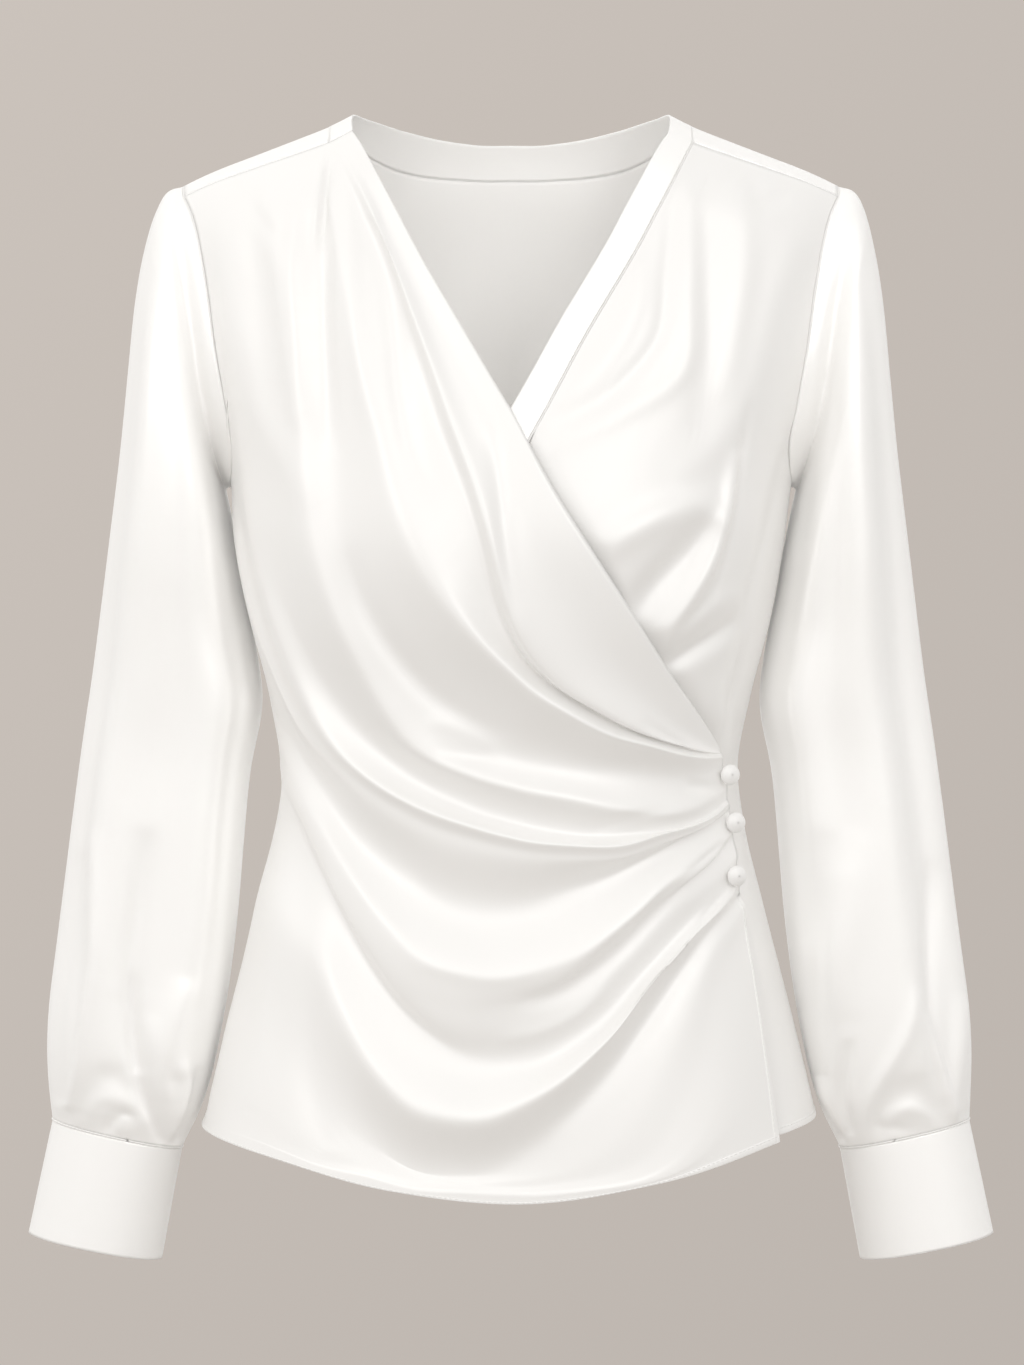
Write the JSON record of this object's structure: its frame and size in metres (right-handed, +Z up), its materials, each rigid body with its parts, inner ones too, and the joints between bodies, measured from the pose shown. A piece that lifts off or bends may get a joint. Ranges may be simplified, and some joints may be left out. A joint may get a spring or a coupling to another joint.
{
  "type": "wrap top",
  "caption": "Long-sleeved wrap blouse in satin, hollow as if worn: draped overlapping front gathered to side buttons, V neck with a band, deep cuffs.",
  "frame": {"origin": "midpoint between the two shoulder neck points, where the wearer's shoulders hold the blouse", "axes": "+Z up, the front of the blouse faces -Y, +X towards the wearer's left"},
  "size_m": [0.5688, 0.2408, 0.6749],
  "materials": {
    "satin_back": "satin weave, soft sheen, warm white",
    "covered_button_1": "satin weave, soft sheen, warm white",
    "covered_button_2": "satin weave, soft sheen, warm white",
    "covered_button_3": "satin weave, soft sheen, warm white",
    "satin_cuff_left": "satin weave, soft sheen, warm white",
    "satin_cuff_right": "satin weave, soft sheen, warm white",
    "satin_front_overlap": "satin weave, soft sheen, warm white",
    "satin_front_underlap": "satin weave, soft sheen, warm white",
    "satin_neckband": "satin weave, soft sheen, warm white",
    "satin_sleeve_left": "satin weave, soft sheen, warm white",
    "satin_sleeve_right": "satin weave, soft sheen, warm white"
  },
  "bodies": {
    "root": {"back": "satin_back", "button_1": "covered_button_1", "button_2": "covered_button_2", "button_3": "covered_button_3", "cuff_left": "satin_cuff_left", "cuff_right": "satin_cuff_right", "front_overlap": "satin_front_overlap", "front_underlap": "satin_front_underlap", "neckband": "satin_neckband", "sleeve_left": "satin_sleeve_left", "sleeve_right": "satin_sleeve_right"}
  },
  "joints": []
}
